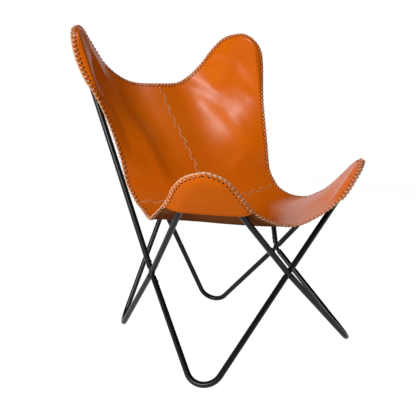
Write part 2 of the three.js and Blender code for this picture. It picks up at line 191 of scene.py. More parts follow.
def make_world():
    world = bpy.data.worlds.new("studio")
    bpy.context.scene.world = world
    finish = Finish("studio", world)
    strength = finish.seen() * (1.0 - WORLD_LIGHT) + WORLD_LIGHT
    background = finish.add("ShaderNodeBackground", {}, {"Color": (1.0, 1.0, 1.0), "Strength": strength})
    finish.surface(background["Background"])


def make_card(name, corners):
    """A flat card of the studio, with its corners in metres."""
    mesh = bpy.data.meshes.new(name)
    mesh.from_pydata(corners, [], [(0, 1, 2, 3)])
    card = bpy.data.objects.new(name, mesh)
    bpy.context.collection.objects.link(card)
    return card


def make_floor():
    reach = FLOOR_REACH
    floor = make_card("floor", [(-reach, -reach, 0), (reach, -reach, 0),
                                (reach, reach, 0), (-reach, reach, 0)])
    floor.location.z = -FLOOR_DROP
    finish = Finish("pale_floor")
    pale = finish.add("ShaderNodeBsdfDiffuse", {}, {"Color": (0.5, 0.5, 0.5)})["BSDF"]
    shaded = finish.add("ShaderNodeBsdfDiffuse", {}, {"Color": (0.3, 0.3, 0.3)})["BSDF"]
    white_light = {"Color": (1.0, 1.0, 1.0), "Strength": SEEN_FLOOR}
    glow = finish.add("ShaderNodeEmission", {}, white_light)["Emission"]
    white = finish.add("ShaderNodeAddShader", {}, {0: shaded, 1: glow})["Shader"]
    mixed = finish.add("ShaderNodeMixShader", {}, {0: finish.seen(), 1: pale, 2: white})["Shader"]
    floor.data.materials.append(finish.surface(mixed))


def make_lamp(name, place, aim, size, power):
    """A soft lamp. Places and sizes are in metres, the power in watts."""
    data = bpy.data.lights.new(name, "AREA")
    data.shape = "RECTANGLE"
    data.size, data.size_y = size
    data.energy = power
    lamp = bpy.data.objects.new(name, data)
    lamp.location = place
    lamp.rotation_euler = (Vector(aim) - Vector(place)).to_track_quat("-Z", "Y").to_euler()
    bpy.context.collection.objects.link(lamp)


def make_flag(name, corners):
    """A black card outside the picture, which keeps the white room out of the gloss."""
    flag = make_card(name, corners)
    flag.visible_camera = False
    finish = Finish(name)
    black = finish.add("ShaderNodeBsdfDiffuse", {}, {"Color": (0.02, 0.02, 0.02)})["BSDF"]
    flag.data.materials.append(finish.surface(black))


def make_studio():
    make_world()
    make_floor()
    make_lamp("key", (-2.42, -0.94, 1.26), (0.05, 0.05, 0.6), (1.0, 1.0), 77.0)
    make_lamp("overhead", (0.2, -0.35, 2.35), (0.15, 0.15, 0.63), (0.32, 0.32), 12.0)
    make_flag("ceiling_flag", [(-7, -7, 3.0), (3, -7, 3.0), (3, 2.5, 3.0), (-7, 2.5, 3.0)])
    make_flag("right_flag", [(2.6, -2.5, 0), (2.6, 2.5, 0), (2.6, 2.5, 3.0), (2.6, -2.5, 3.0)])


# Small geometry helpers

def unit(vector):
    return vector / np.linalg.norm(vector, axis=-1, keepdims=True)


def add_object(name, points, faces, finishes, slots=None, attributes=None, smooth_angle=None):
    """A piece of the chair from points in millimetres."""
    mesh = bpy.data.meshes.new(name)
    mesh.from_pydata([tuple(p) for p in (np.asarray(points) + LIFT) * MM], [], [tuple(f) for f in faces])
    for finish in finishes:
        mesh.materials.append(finish)
    if slots is not None:
        mesh.polygons.foreach_set("material_index", np.asarray(slots, dtype=np.int32))
    for key, values in (attributes or {}).items():
        layer = mesh.attributes.new(key, "FLOAT", "POINT")
        layer.data.foreach_set("value", np.asarray(values, dtype=np.float32))
    mesh.polygons.foreach_set("use_smooth", [True] * len(mesh.polygons))
    if smooth_angle is not None:
        mesh.set_sharp_from_angle(angle=math.radians(smooth_angle))
    mesh.update()
    piece = bpy.data.objects.new(name, mesh)
    bpy.context.collection.objects.link(piece)
    return piece


# Frame

def bend_of(peak, ends, radius):
    first, second = (unit(end - peak) for end in ends)
    half_angle = math.acos(float(first @ second)) / 2
    inward = unit(first + second)
    centre = peak + inward * radius / math.sin(half_angle)
    setback = radius / math.tan(half_angle)
    return {"centre": centre, "inward": inward, "axis": unit(np.cross(first, second)),
            "start": peak + first * setback, "end": peak + second * setback, "radius": radius}


def foot_peak(x, y, ends):
    peak = np.array([x, y, 0.0])
    for _ in range(8):
        bend = bend_of(peak, ends, FLOOR_BEND)
        lowest = bend["centre"][2] - FLOOR_BEND * math.hypot(bend["axis"][0], bend["axis"][1])
        peak[2] -= lowest - TUBE + FLOOR_FLAT
    return peak


def bent_line(plan, steps, stops=None):
    """Points along a tube's centre line."""
    bend = bend_of(plan["peak"], plan["ends"], plan["radius"])
    first, last = stops or plan["ends"]
    a, b = bend["start"] - bend["centre"], bend["end"] - bend["centre"]
    angle = math.acos(float(unit(a) @ unit(b)))
    side = unit(np.cross(np.cross(a, b), a)) * np.linalg.norm(a)
    arc = [bend["centre"] + a * math.cos(t) + side * math.sin(t) for t in np.linspace(0, angle, steps + 1)]
    return np.array([first, *arc, last])


PLANS = {}
for side, sign in (("right", -1), ("left", 1)):
    def loop(name, peak, keys, radius):
        PLANS[name] = {"peak": peak, "keys": keys, "radius": radius, "ends": [CROSSINGS[key] for key in keys]}
    loop(f"top_loop_back_{side}", np.array([sign * 344.0, 267.0, 1001.0]), (side, "back"), TOP_BEND)
    loop(f"top_loop_front_{side}", np.array([sign * 299.0, -307.0, 560.0]), (side, "front"), TOP_BEND)
    loop(f"leg_front_{side}", foot_peak(sign * 296.0, -293.0, [CROSSINGS[side], CROSSINGS["front"]]),
         (side, "front"), FLOOR_BEND)
    loop(f"leg_back_{side}", foot_peak(sign * 188.0, 277.0, [CROSSINGS[side], CROSSINGS["back"]]),
         (side, "back"), FLOOR_BEND)


def end_setback(key):
    arms = [unit(plan["peak"] - CROSSINGS[key]) for plan in PLANS.values() if key in plan["keys"]]
    widest = max(float(a @ b) for i, a in enumerate(arms) for b in arms[i + 1:])
    return (TUBE + TUBE_END_CLEARANCE) / math.tan(math.acos(widest) / 2)


LEG_RINGS = 8       # along each straight leg, so that its shading stays even


def make_tube(name, plan, finish, sides=24, steps=20):
    stops = [CROSSINGS[key] + unit(plan["peak"] - CROSSINGS[key]) * end_setback(key) for key in plan["keys"]]
    line = bent_line(plan, steps, stops)
    shares = np.linspace(0, 1, LEG_RINGS + 1)[1:]
    first, last = ([line[i] + (line[i + 1] - line[i]) * s for s in shares] for i in (0, len(line) - 2))
    points = np.array([line[0], *first, *line[2:-1], *last])
    normal = unit(np.cross(plan["ends"][0] - plan["peak"], plan["ends"][1] - plan["peak"]))
    rings = []
    tangents = unit(np.gradient(points, axis=0))
    turns = np.linspace(0, 2 * math.pi, sides, endpoint=False)
    for radius in (TUBE, TUBE - WALL):
        for point, tangent in zip(points, tangents):
            across = unit(np.cross(tangent, normal))
            rings.append([point + radius * (math.cos(t) * normal + math.sin(t) * across) for t in turns])
    rings = np.array(rings)
    outer, inner = rings[:len(points)], rings[len(points):]
    order = np.concatenate([outer, inner[::-1]])
    vertices = order.reshape(-1, 3)
    if name.startswith("leg_"):
        vertices[:, 2] = np.maximum(vertices[:, 2], 0.0)
    count = len(order)
    faces = []
    for i in range(count):
        for j in range(sides):
            a, b = i * sides + j, i * sides + (j + 1) % sides
            c, d = ((i + 1) % count) * sides + (j + 1) % sides, ((i + 1) % count) * sides + j
            faces.append((a, b, c, d))
    tube = add_object(f"{name}_tube", vertices, faces, [finish], smooth_angle=40)
    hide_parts(name)
    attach(tube, "root")


def powder_coat():
    finish = Finish("black_powder_coat")
    grain = finish.noise(900.0, 2.0)
    wear = finish.noise(6.0, 4.0, 0.6)
    colour = finish.blend(wear.above(0.35, 0.75), (0.003, 0.0032, 0.0036), (0.006, 0.0065, 0.007))
    return finish.principled(Base_Color=colour, Roughness=0.26 + 0.1 * wear,
                             Specular_IOR_Level=0.2, Normal=finish.bump(grain, 0.00006, 0.35))


def dark_zinc():
    finish = Finish("dark_zinc")
    scratches = finish.noise(400.0, 3.0)
    return finish.principled(Base_Color=finish.blend(scratches, (0.05, 0.05, 0.055), (0.14, 0.14, 0.15)),
                             Metallic=1.0, Roughness=0.32 + 0.15 * scratches)


# The sling's surface

BACK_SIDE_LEG = (
    (0.155, 0.25, -0.1), (0.2, 0.8, -0.25), (0.26, 0.8, -0.35), (0.33, 0.6, -0.18), (0.41, 0.36, 0.26),
    (0.5, 0.12, 0.48), (0.6, -0.05, 0.48), (0.69, 0.08, 0.36), (0.757, 0.74, 0.8),
)
FRONT_SIDE_LEG = (
    (0.125, 0.6, 0), (0.225, 1.15, 0), (0.3, 1.28, 0), (0.37, 1.45, 0), (0.445, 1.68, 0.08),
    (0.52, 1.88, 0.4), (0.583, 1.93, 0.78), (0.634, 2.02, 1.45), (0.678, 2.3, 2.27), (0.709, 2.79, 3.2),
)
BACK_LEG = (
    (0.157, 0.2, 0.05), (0.183, 0.94, 0.05), (0.214, 1.41, 0), (0.246, 1.77, 0), (0.29, 2.15, 0),
    (0.346, 2.52, 0.13), (0.415, 3.03, 0.76), (0.47, 3.55, 1.85),
)
FRONT_LEG = (
    (0.095, 0.1, 0.05), (0.139, 0.5, 0.08), (0.187, 0.83, 0), (0.24, 0.98, -0.04), (0.337, 1.12, -0.1),
    (0.431, 1.15, -0.03), (0.526, 1.33, 0.33), (0.616, 1.54, 0.85), (0.7, 1.82, 1.45),
)
CENTRE_LINE = (
    (1.031, 0.653), (0.936, 0.545), (0.847, 0.467), (0.759, 0.389), (0.68, 0.31), (0.61, 0.243),
    (0.545, 0.2), (0.47, 0.173), (0.366, 0.155), (0.245, 0.151), (0.0885, 0.161), (-0.05, 0.177),
)
CENTRE_SEAM = 6
SECTION_POWER = 2.2
# the straighter section across the back: where it leaves the seam, how softly, and its rise at seam and edge
STRAIGHT_START = 0.2
STRAIGHT_EASE = 0.05
STRAIGHT_AT_SEAM = 0.0009
STRAIGHT_AT_EDGE = 0.7991


class Edge:
    """A smooth curve through points, read by the share of its length."""

    def __init__(self, points, before=None, after=None, per_span=40):
        points = np.array(points)
        before = 2 * points[0] - points[1] if before is None else before
        after = 2 * points[-1] - points[-2] if after is None else after
        p = np.concatenate([[before], points, [after]])
        t = np.linspace(0, 1, per_span, endpoint=False)[:, None]
        spans = []
        for i in range(1, len(p) - 2):
            a, b = p[i], p[i + 1]
            ta, tb = (p[i + 1] - p[i - 1]) / 2, (p[i + 2] - p[i]) / 2
            spans.append(a + ta * t + (3 * (b - a) - 2 * ta - tb) * t ** 2 + (2 * (a - b) + ta + tb) * t ** 3)
        self.line = np.concatenate([*spans, points[-1:]])
        steps = np.linalg.norm(np.diff(self.line, axis=0), axis=1)
        self.lengths = np.concatenate([[0], np.cumsum(steps)])
        self.length = self.lengths[-1]
        self.per_span = per_span

    def at(self, share):
        reach = np.asarray(share) * self.length
        return np.stack([np.interp(reach, self.lengths, self.line[:, k]) for k in range(3)], axis=-1)

    def share_of_point(self, index):
        return self.lengths[index * self.per_span] / self.length


def facing_of(plan):
    facing = unit(np.cross(plan["ends"][0] - plan["peak"], plan["ends"][1] - plan["peak"]))
    sitter = np.array([0, 0, plan["peak"][2]]) - plan["peak"]
    return facing if facing @ sitter > 0 else -facing


def beside_leg(plan, which, shares):
    facing = facing_of(plan)
    leg = plan["ends"][which] - plan["peak"]
    other = plan["ends"][1 - which] - plan["peak"]
    along = unit(leg)
    out = unit(along * (along @ other) - other)
    return [plan["peak"] + leg * a + out * o * OVERHANG + facing * f * OVERHANG for a, o, f in shares]


BACK_LOOP, FRONT_LOOP = PLANS["top_loop_back_left"], PLANS["top_loop_front_left"]
DEPTH = CROSSINGS["back"][1] - CROSSINGS["front"][1]
RISE = BACK_LOOP["peak"][2] - CROSSINGS["front"][2]
CENTRE_POINTS = [np.array([0.0, CROSSINGS["front"][1] + way * DEPTH, CROSSINGS["front"][2] + height * RISE])
                 for way, height in CENTRE_LINE]
TUBE_GAP = 1.0
CLEAR = TUBE + TUBE_GAP + LEATHER / 2
HAMMOCK_START = 6.0     # beside a leg, where the leather begins to hang
HAMMOCK_REACH = 110.0
HAMMOCK_DEPTH = 6.0
SOFT = 7.0              # how gently the leather meets the tube
LEAVING = 6.8           # beside the tube, where the leather leaves it
FAR_BEHIND = 80.0       # behind a loop's plane, where the leather no longer meets that loop
EDGE_EASE = 3.0         # from the laced edge, where the rise over the tube sets in
POCKET_EASE = 5.0       # from the laced edge, where a pocket parts from the panel inside the loop
NO_GAP = 0.001          # keeps a share of a length from being divided by zero
FOLD_WAY = np.array([-0.35, -0.72, 0.6])


def smooth(x, low, high):
    t = np.clip((x - low) / (high - low), 0, 1)
    return t * t * (3 - 2 * t)


def nearest_on(line, points):
    """For each point, the nearest place on a polyline."""
    best = np.full(points.shape[0], np.inf)
    foot = np.zeros_like(points)
    for a, b in zip(line[:-1], line[1:]):
        run = b - a
        t = np.clip(((points - a) @ run) / (run @ run), 0, 1)
        spot = a + t[:, None] * run
        gap = ((points - spot) ** 2).sum(1)
        closer = gap < best
        best = np.where(closer, gap, best)
        foot[closer] = spot[closer]
    return foot, np.sqrt(best)


class Loop:
    """A loop of the frame as the leather meets it."""

    def __init__(self, plan):
        self.facing = facing_of(plan)
        self.line = bent_line(plan, 14)
        self.peak = plan["peak"]
        self.legs = [unit(end - plan["peak"]) for end in plan["ends"]]
        self.middle = (plan["peak"] + plan["ends"][0] + plan["ends"][1]) / 3

    def measure(self, points):
        """Height over the loop's plane, distance beside the tube, and whether that is outside the loop."""
        foot, _ = nearest_on(self.line, points)
        offset = points - foot
        height = offset @ self.facing
        flat = offset - height[:, None] * self.facing
        outside = ((flat * (foot - self.middle)).sum(1)) > 0
        return height, np.linalg.norm(flat, axis=1), outside

    def inside(self, points):
        """0 over the tube, rising to 1 towards the middle of the loop."""
        rest = 1.0
        for leg in self.legs:
            offset = points - self.peak
            offset = offset - (offset @ self.facing)[:, None] * self.facing
            away = np.linalg.norm(offset - (offset @ leg)[:, None] * leg, axis=1)
            rest = rest * smooth(away, HAMMOCK_START, HAMMOCK_REACH)
        return rest

    def lift(self, points, gap):
        """How far the leather rises over the tube. It turns round the tube and comes down straight to the
        laced edge, gap away, and hangs down inside the loop."""
        height, beside, outside = self.measure(points)
        turned = np.sqrt(CLEAR ** 2 - np.minimum(beside, LEAVING) ** 2)
        want = np.where(outside, turned, CLEAR - (CLEAR + HAMMOCK_DEPTH) * self.inside(points)) - height
        push = np.where(want > SOFT, want, np.where(want < -SOFT, 0, (want + SOFT) ** 2 / (4 * SOFT)))
        fallen = np.clip((beside - LEAVING) / (beside - LEAVING + gap + NO_GAP), 0, 1)
        hold = np.where(outside, 1 - fallen, 1) * np.clip(gap / EDGE_EASE, 0, 1)
        return np.where(height > -FAR_BEHIND, push * hold, 0)


LOOPS = [Loop(BACK_LOOP), Loop(FRONT_LOOP)]


class Half:
    """One half of the sling, worked out on the sitter's left. across runs from 0 at the middle seam to 1 at
    the side edge, and down from 0 at the back edge through 0.5 at the cross seam to 1 at the front edge."""

    def __init__(self, back_tip, front_tip, straight, eases, folds):
        self.eases = eases
        self.straight = straight        # how far the back comes across in a straight line from the seam
        tips = [self.tip(BACK_LOOP, back_tip), self.tip(FRONT_LOOP, front_tip)]
        self.centre = Edge(CENTRE_POINTS)
        back_side = self.beside(BACK_LOOP, 0, BACK_SIDE_LEG)
        front_side = self.beside(FRONT_LOOP, 0, FRONT_SIDE_LEG)
        back, front = self.beside(BACK_LOOP, 1, BACK_LEG), self.beside(FRONT_LOOP, 1, FRONT_LEG)
        self.side = Edge([tips[0], *back_side, *front_side[::-1], tips[1]], before=back[0], after=front[0])
        self.back = self.cross(CENTRE_POINTS[0], back, tips[0], back_side[0])
        self.front = self.cross(CENTRE_POINTS[-1], front, tips[1], front_side[0])
        self.centre_seam = self.centre.share_of_point(CENTRE_SEAM)
        self.side_seam = self.side.share_of_point(len(BACK_SIDE_LEG))
        self.outline = [self.side.line[::8], self.back.line[::8], self.front.line[::8]]
        self.folds = list(self.fold_lines(folds))

    def beside(self, plan, which, shares):
        """The edge beside a leg, eased outwards where this half of the sling sits wider than the other."""
        at, width, more = self.eases.get((plan is BACK_LOOP, which), (0, 1, 0))
        eased = [(a, o + more * math.exp(-((a - at) / width) ** 2), f) for a, o, f in shares]
        return beside_leg(plan, which, eased)

    @staticmethod
    def tip(plan, reach):
        bend = bend_of(plan["peak"], plan["ends"], plan["radius"])
        return bend["centre"] - bend["inward"] * (plan["radius"] + reach)

    @staticmethod
    def cross(middle, half, tip, after):
        half = [*half[::-1], tip]
        return Edge([*[point * [-1, 1, 1] for point in half[::-1]], middle, *half], after * [-1, 1, 1], after)

    @staticmethod
    def share_down(down, seam):
        return np.where(down < 0.5, down * 2 * seam, 1 - (1 - down) * 2 * (1 - seam))

    def ruled(self, across, down):
        centre = self.centre.at(self.share_down(down, self.centre_seam))
        edge = self.side.at(self.share_down(down, self.side_seam))
        across = np.abs(across)
        straight = np.log1p(np.exp((across - STRAIGHT_START) / STRAIGHT_EASE)) * STRAIGHT_EASE
        straight = straight - STRAIGHT_AT_SEAM
        bowed = (1 - self.straight) * across ** SECTION_POWER
        share = (bowed + self.straight * straight / STRAIGHT_AT_EDGE)[..., None]
        point = centre + share * (edge - centre)
        point[..., 0] = across * edge[..., 0]
        return point

    def plain(self, across, down):
        """The taut sling without its drape over the tubes."""
        near_back = (down < 0.5)[..., None]
        fade = ((1 - 2 * down) ** 2)[..., None]
        edge = np.where(near_back, self.back.at((1 + across) / 2), self.front.at((1 + across) / 2))
        end = self.ruled(across, np.where(down < 0.5, 0.0, 1.0))
        return self.ruled(across, down) + fade * (edge - end)

    def fold_lines(self, folds):
        """The folds as lines in space, with their heights, half widths and fades."""
        for spots, height, width in folds:
            a, d = np.array(spots).T
            yield Edge(self.plain(a, d)).line[::10], height, width

    def folds_at(self, points):
        rise = np.zeros(len(points))
        for line, height, width in self.folds:
            run = np.linspace(-1, 1, len(line))
            best = np.full(len(points), np.inf)
            fade = np.zeros(len(points))
            for i in range(len(line) - 1):
                step = line[i + 1] - line[i]
                t = np.clip(((points - line[i]) @ step) / (step @ step), 0, 1)
                gap = ((points - line[i] - t[:, None] * step) ** 2).sum(1)
                closer = gap < best
                best = np.where(closer, gap, best)
                fade = np.where(closer, 1 - (run[i] + (run[i + 1] - run[i]) * t) ** 4, fade)
            rise += height * fade * np.exp(-best / width ** 2)
        return rise

    def edge_gap(self, points):
        return np.min([nearest_on(line, points)[1] for line in self.outline], axis=0)

    def draped(self, across, down):
        shape = across.shape
        a, d = across.ravel(), down.ravel()
        points = self.plain(np.abs(a), d)
        gap = self.edge_gap(points)
        for loop in LOOPS:
            points = points + loop.lift(points, gap)[:, None] * loop.facing
        points = points + self.folds_at(points)[:, None] * unit(FOLD_WAY)
        points[:, 0] *= np.where(a < 0, -1, 1)
        return points.reshape(*shape, 3)

    def facings(self, across, down, step=0.006):
        a = np.clip(across, None, 1 - step)
        d = np.clip(down, step, 1 - step)
        da = self.draped(a + step, d) - self.draped(a - step, d)
        dd = self.draped(a, d + step) - self.draped(a, d - step)
        return unit(np.cross(dd, da))

    def pocket(self, loop, a, d):
        points = self.plain(a, d)
        gap = self.edge_gap(points)
        height, beside, outside = loop.measure(points)
        fallen = (beside / (beside + gap + NO_GAP)) ** 2
        hold = np.where(outside, 1 - fallen, np.clip(gap / POCKET_EASE, 0, 1))
        joined = height - LEATHER - LAYER_GAP
        target = joined + hold * (-CLEAR - joined)
        return points + (target - height)[:, None] * loop.facing


# each fold is a row of (across, down) spots, with its height and half width; a hollow has a height below 0
LEFT_FOLDS = (
    (((0.2, -0.02), (0.3, 0.035), (0.4, 0.09), (0.5, 0.15), (0.6, 0.22), (0.72, 0.3), (0.86, 0.39)),
     4.5, 30.0),
    (((0.6, 0.0), (0.694, 0.025), (0.788, 0.069), (0.838, 0.106), (0.9, 0.155)), 3.5, 14.0),
    (((0.45, 0.385), (0.6, 0.378), (0.75, 0.37)), 2.0, 12.0),
)
RIGHT_FOLDS = (
    (((0.5, 0.04), (0.51, 0.16), (0.52, 0.28), (0.48, 0.46)), 5.0, 28.0),
    (((0.74, -0.02), (0.76, 0.1), (0.78, 0.22), (0.8, 0.38)), -5.0, 26.0),
)
# (near the back, leg) with the place, width and size of the ease
RIGHT_EASES = {(False, 0): (0.15, 0.12, 0.25), (False, 1): (0.12, 0.12, 0.22)}
LEFT_EASES = {(True, 0): (0.58, 0.12, 0.35), (True, 1): (0.19, 0.07, 0.18), (False, 1): (0.2, 0.15, 0.08)}
HALVES = {
    "right": Half(13.0, 30.0, 0.75, RIGHT_EASES, RIGHT_FOLDS),
    "left": Half(22.0, 5.5, 0.3, LEFT_EASES, LEFT_FOLDS),
}
SIGNS = {"right": -1, "left": 1}


def closed_sheet(points, facings, faces):
    """Front, back and rim of a sheet. The faces come with slot 0 for front, 1 for back, 2 for rim."""
    half = LEATHER / 2
    count = len(points)
    everything = np.concatenate([points + facings * half, points - facings * half])
    out = [tuple(f) for f in faces]
    slots = [0] * len(out)
    sides = {}
    for f in faces:
        for i in range(len(f)):
            sides[(f[i], f[(i + 1) % len(f)])] = True
    out += [tuple(count + i for i in reversed(f)) for f in faces]
    slots += [1] * len(faces)
    for a, b in sides:
        if (b, a) not in sides:
            out.append((b, a, count + a, count + b))
            slots.append(2)
    return everything, out, slots


def spread(count, power=1.35):
    """Shares from 0 to 1, closer together at the start."""
    return np.linspace(0, 1, count) ** power


# width, length and area of each cut before it is hung, in metres
FLAT = {"back_panel": (0.42, 0.56, 0.158), "seat_panel": (0.36, 0.407, 0.116),
        "back_pocket": (0.223, 0.145, 0.023), "front_pocket": (0.229, 0.131, 0.0198)}


def declare_sheet(kind, side):
    width, length, area = FLAT[kind]


def make_panel(name, side, near_back, finishes, columns=64, rows=64):
    half, sign = HALVES[side], SIGNS[side]
    across = 1 - spread(columns)
    down = spread(rows) * 0.5
    if not near_back:
        down = 1 - down
    a, d = np.meshgrid(across, down)
    points = half.draped(a, d)
    facings = half.facings(a, d)
    edge = half.edge_gap(points.reshape(-1, 3)).reshape(a.shape)
    points[:, -1, 0] += SEAM_GAP / 2
    inner = points[-2] - points[-1]
    points[-1] += unit(inner) * SEAM_GAP / 2
    faces = []
    for i in range(rows - 1):
        for j in range(columns - 1):
            q = (i * columns + j, i * columns + j + 1, (i + 1) * columns + j + 1, (i + 1) * columns + j)
            faces.append(q if not near_back else q[::-1])
    faces = [f[::-1] for f in faces]
    points, facings = points.reshape(-1, 3), facings.reshape(-1, 3)
    if sign < 0:
        points, facings = points * [-1, 1, 1], facings * [-1, 1, 1]
        faces = [f[::-1] for f in faces]
    everything, out, slots = closed_sheet(points, facings, faces)
    rim = np.tile(edge.ravel(), 2)
    piece = add_object(f"{name}_leather", everything, out, finishes, slots, {"edge": rim}, smooth_angle=50)
    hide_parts(name)
    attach(piece, "root")
    declare_sheet(name[:name.rindex("_")], side)


# by whether the pocket is near the back: how far it reaches across and down, and how far its hem bows out
POCKETS = {True: (0.47, 0.185), False: (0.515, 0.212)}
HEM_BOW = {True: 0.16, False: 0.24}
NO_EDGE = 999.0     # an edge distance too far for the darker edge band, which is partly burnished leather and partly painted shade
HEM_SHADE = 200.0   # turns the share to a pocket's hem into a distance for the darker edge band, which is partly burnished leather and partly painted shade


def pocket_grid(near_back, rings, fans):
    """Rings round the tip of a pocket, out to its hem, as across and down on the sling."""
    pocket_across, pocket_down = POCKETS[near_back]
    ring = spread(rings + 1, 1.2)[1:]
    fan = 0.5 - 0.5 * np.cos(np.linspace(0, math.pi, fans))
    r, f = np.meshgrid(ring, fan, indexing="ij")
    bow = 1 + HEM_BOW[near_back] * 4 * f * (1 - f)
    a = 1 - r * pocket_across * f * bow
    d = r * pocket_down * (1 - f) * bow
    return r, f, a, d if near_back else 1 - d


def make_pocket(name, side, near_back, finishes, rings=44, fans=44):
    half, sign = HALVES[side], SIGNS[side]
    loop = LOOPS[0 if near_back else 1]
    r, f, a, d = pocket_grid(near_back, rings, fans)
    tip = half.pocket(loop, np.array([1.0]), np.array([0.0 if near_back else 1.0]))
    points = np.concatenate([tip, half.pocket(loop, a.ravel(), d.ravel())])
    facings = np.tile(loop.facing, (len(points), 1))
    faces = [(0, 1 + j, 2 + j) for j in range(fans - 1)]
    for i in range(rings - 1):
        for j in range(fans - 1):
            low, high = 1 + i * fans + j, 1 + (i + 1) * fans + j
            faces.append((low, high, high + 1, low + 1))
    if near_back:
        faces = [face[::-1] for face in faces]
    edge = half.edge_gap(points)
    hem = np.concatenate([[NO_EDGE], ((1 - r) * HEM_SHADE).ravel()])
    if sign < 0:
        points, facings = points * [-1, 1, 1], facings * [-1, 1, 1]
        faces = [face[::-1] for face in faces]
    everything, out, slots = closed_sheet(points, facings, faces)
    slots = [{0: 1, 1: 0, 2: 2}[slot] for slot in slots]
    piece = add_object(f"{name}_leather", everything, out, finishes, slots,
                       {"edge": np.tile(np.minimum(edge, hem), 2)}, smooth_angle=50)
    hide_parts(name)
    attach(piece, "root")
    declare_sheet(name[:name.rindex("_")], side)


# Leather finishes

def tan_leather(name, shade, gloss, edge_burnish_and_shade):
    """Smooth leather. shade darkens all of it as painted shade; the edge band is partly burnished leather,
    partly painted shade.
    """
    finish = Finish(name)
    cloud = finish.noise(5.0, 4.0, 0.55)
    fine = finish.noise(90.0, 4.0, 0.6)
    pores = finish.add("ShaderNodeTexVoronoi", {"feature": "F1"},
                       {"Vector": finish.add("ShaderNodeTexCoord")["Object"], "Scale": 650.0})["Distance"]
    edge = finish.attribute("edge")
    colour = finish.blend(cloud.above(0.3, 0.75), (0.6, 0.109, 0.0), (0.655, 0.128, 0.0))
    colour = finish.blend(0.25 * fine.above(0.45, 0.8), colour, (0.46, 0.075, 0.0))
    # a darker band 4 to 12 mm in from the laced edge: partly burnished leather, partly painted shade between
    # the stitches
    colour = finish.blend((1.0 - edge.above(4.0, 12.0)) * edge_burnish_and_shade, colour, (0.2, 0.03, 0.0))
    # painted shade: a darker copy for parts that face down and away from the light
    colour = finish.blend(shade, colour, (0.2, 0.03, 0.0))
    return finish.principled(
        Base_Color=colour, Roughness=0.25 + 0.08 * cloud + 0.05 * fine, Specular_IOR_Level=gloss,
        Normal=finish.bump(pores + 0.6 * fine, 0.00022, 0.3))


def flesh_side():
    finish = Finish("leather_flesh_side")
    nap = finish.noise(260.0, 5.0, 0.7)
    cloud = finish.noise(9.0, 3.0)
    colour = finish.blend(cloud.above(0.3, 0.7), (0.2, 0.055, 0.015), (0.28, 0.085, 0.026))
    colour = finish.blend(nap.above(0.35, 0.75) * 0.5, colour, (0.34, 0.12, 0.05))
    return finish.principled(Base_Color=colour, Roughness=0.85, Specular_IOR_Level=0.0,
                             Normal=finish.bump(nap, 0.0004, 0.5))


def cut_edge():
    finish = Finish("leather_cut_edge")
    fibre = finish.noise(500.0, 3.0)
    colour = finish.blend(fibre, (0.5, 0.3, 0.18), (0.72, 0.5, 0.34))
    return finish.principled(Base_Color=colour, Roughness=0.7, Specular_IOR_Level=0.2)


# Lacing and seams

LACE_PITCH = 13.2
LACE_WIDTH = 5.4
LACE_THICKNESS = 2.4
LACE_SLANT = 0.22       # of the pitch
HOLE_INSET = 8.0
HOLE_RADIUS = 2.7
HOLE_SIDES = 10
RIM_INSET = 3.0         # in from the edge, where the lace's facing at the rim is read


def strap(path, across, width, thickness, sides=8):
    """A flat lace along a path, as rings of points, with its width along the given directions."""
    tangents = unit(np.gradient(path, axis=0))
    across = unit(across - (across * tangents).sum(1)[:, None] * tangents)
    up = np.cross(tangents, across)
    turns = np.linspace(0, 2 * math.pi, sides, endpoint=False)
    rings = [path + np.cos(t) * across * width / 2 + np.sin(t) * up * thickness / 2 for t in turns]
    points = np.stack(rings, axis=1)
    count = len(path)
    faces = []
    for i in range(count - 1):
        for j in range(sides):
            k = (j + 1) % sides
            faces.append((i * sides + j, i * sides + k, (i + 1) * sides + k, (i + 1) * sides + j))
    faces.append(tuple(range(sides))[::-1])
    faces.append(tuple((count - 1) * sides + j for j in range(sides)))
    return points.reshape(-1, 3), faces


class Bundle:
    """Many small pieces gathered into one object."""

    def __init__(self):
        self.points, self.faces, self.count = [], [], 0

    def add(self, points, faces):
        self.points.append(points)
        self.faces += [tuple(i + self.count for i in face) for face in faces]
        self.count += len(points)

    def finish(self, name, material):
        piece = add_object(name, np.concatenate(self.points), self.faces, [material], smooth_angle=60)
        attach(piece, "root")
        return piece


def stations(params, length, seam):
    count = int(round(length / LACE_PITCH))
    return params((np.arange(count) + 0.5) / count, seam)


def side_params(shares, seam):
    down = np.where(shares < seam, shares / seam / 2, 1 - (1 - shares) / (1 - seam) / 2)
    return np.ones_like(shares), down


def back_params(shares, seam):
    return shares, np.zeros_like(shares)


def front_params(shares, seam):
    return shares, np.ones_like(shares)


class Surface:
    """A layer of leather as points and facings, to find the place nearest to a point."""

    def __init__(self, points, facings):
        self.points = points.reshape(-1, 3)
        self.facings = facings.reshape(-1, 3)
        self.tree = KDTree(len(self.points))
        for i, point in enumerate(self.points):
            self.tree.insert(point, i)
        self.tree.balance()

    def near(self, spots):
        """The spots moved onto the surface, and how it faces there."""
        nearest = [self.tree.find(spot)[1] for spot in spots]
        facings = self.facings[nearest]
        off = ((self.points[nearest] - spots) * facings).sum(1)
        return spots + facings * off[:, None], facings


def sling_surface(half):
    share = np.concatenate([spread(90, 1.5) * 0.5, 1 - spread(90, 1.5)[::-1][1:] * 0.5])
    a, d = np.meshgrid(1 - spread(110, 1.5), share)
    return Surface(half.draped(a, d), half.facings(a, d))


def pocket_surface(half, near_back):
    loop = LOOPS[0 if near_back else 1]
    _, _, a, d = pocket_grid(near_back, 60, 60)
    points = half.pocket(loop, a.ravel(), d.ravel()).reshape(*a.shape, 3)
    facings = unit(np.cross(np.gradient(points, axis=0), np.gradient(points, axis=1)))
    facings *= np.sign(facings @ loop.facing)[..., None]
    return Surface(points, facings)


